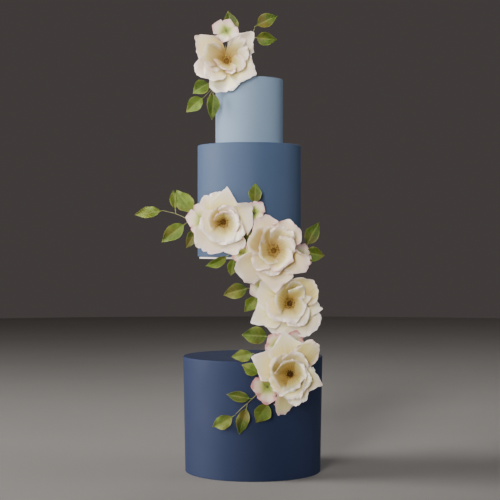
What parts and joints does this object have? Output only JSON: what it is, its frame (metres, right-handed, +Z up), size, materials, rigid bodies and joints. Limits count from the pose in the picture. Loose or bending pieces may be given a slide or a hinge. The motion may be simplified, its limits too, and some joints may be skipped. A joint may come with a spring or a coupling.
{
  "type": "tiered wedding cake",
  "caption": "Tall wedding cake: round tiers in smooth blue icing, the upper ones raised on a hidden post behind a cascade of sugar roses, small blossoms and leaves.",
  "frame": {"origin": "centre of the bottom tier's underside, which the cake rests on", "axes": "+Z up the cake; -Y is the front, the side that the roses face; +X is to the right as seen from the front"},
  "size_m": [0.2814, 0.2489, 0.6957],
  "materials": {
    "icing_pale": "smooth matt rolled icing, pale blue-grey",
    "icing_blue": "smooth matt rolled icing, mid blue",
    "icing_dark": "smooth matt rolled icing, dark slate blue",
    "card": "thin pale cake card",
    "post": "dark satin",
    "sugar_cream": "matt sugar paste, cream with greenish-yellow hearts and pink edges",
    "sugar_pink": "matt sugar paste, cream dusted with pink towards the edges",
    "leaf_green": "satin sugar paste, mid to dark green with paler veins",
    "twig_green": "florist's tape, pale green-brown"
  },
  "bodies": {
    "root": {"tier_bottom": "icing_dark", "middle_board": "card", "tier_middle": "icing_blue", "tier_top": "icing_pale", "post": "post", "rose_top": "sugar_cream", "rose_left": "sugar_cream", "rose_middle": "sugar_cream", "rose_gap": "sugar_cream", "rose_low": "sugar_cream", "floret_top": "sugar_pink", "floret_left": "sugar_pink", "floret_inner": "sugar_pink", "floret_under": "sugar_pink", "floret_right": "sugar_pink", "floret_gap": "sugar_pink", "floret_low_left": "sugar_pink", "floret_low_right": "sugar_pink", "floret_low_outer": "sugar_pink", "leaf_top_right_upper": "leaf_green", "leaf_top_right_lower": "leaf_green", "leaf_top_back": "leaf_green", "leaf_top_left": "leaf_green", "leaf_top_left_low": "leaf_green", "leaf_top_small": "leaf_green", "leaf_top_hanging": "leaf_green", "leaf_sprig_far": "leaf_green", "leaf_sprig_thin": "leaf_green", "leaf_sprig_round": "leaf_green", "leaf_sprig_low": "leaf_green", "leaf_left_dark": "leaf_green", "leaf_left_upper": "leaf_green", "leaf_right_upper": "leaf_green", "leaf_right_lower": "leaf_green", "leaf_under_curled": "leaf_green", "leaf_under_left": "leaf_green", "leaf_between": "leaf_green", "leaf_gap_left": "leaf_green", "leaf_gap_low": "leaf_green", "leaf_gap_bottom": "leaf_green", "leaf_rim_left": "leaf_green", "leaf_front_left": "leaf_green", "leaf_spray_left": "leaf_green", "leaf_spray_far": "leaf_green", "leaf_spray_middle": "leaf_green", "leaf_spray_right": "leaf_green", "twig_top": "twig_green", "twig_left": "twig_green", "twig_low": "twig_green"}
  },
  "joints": []
}
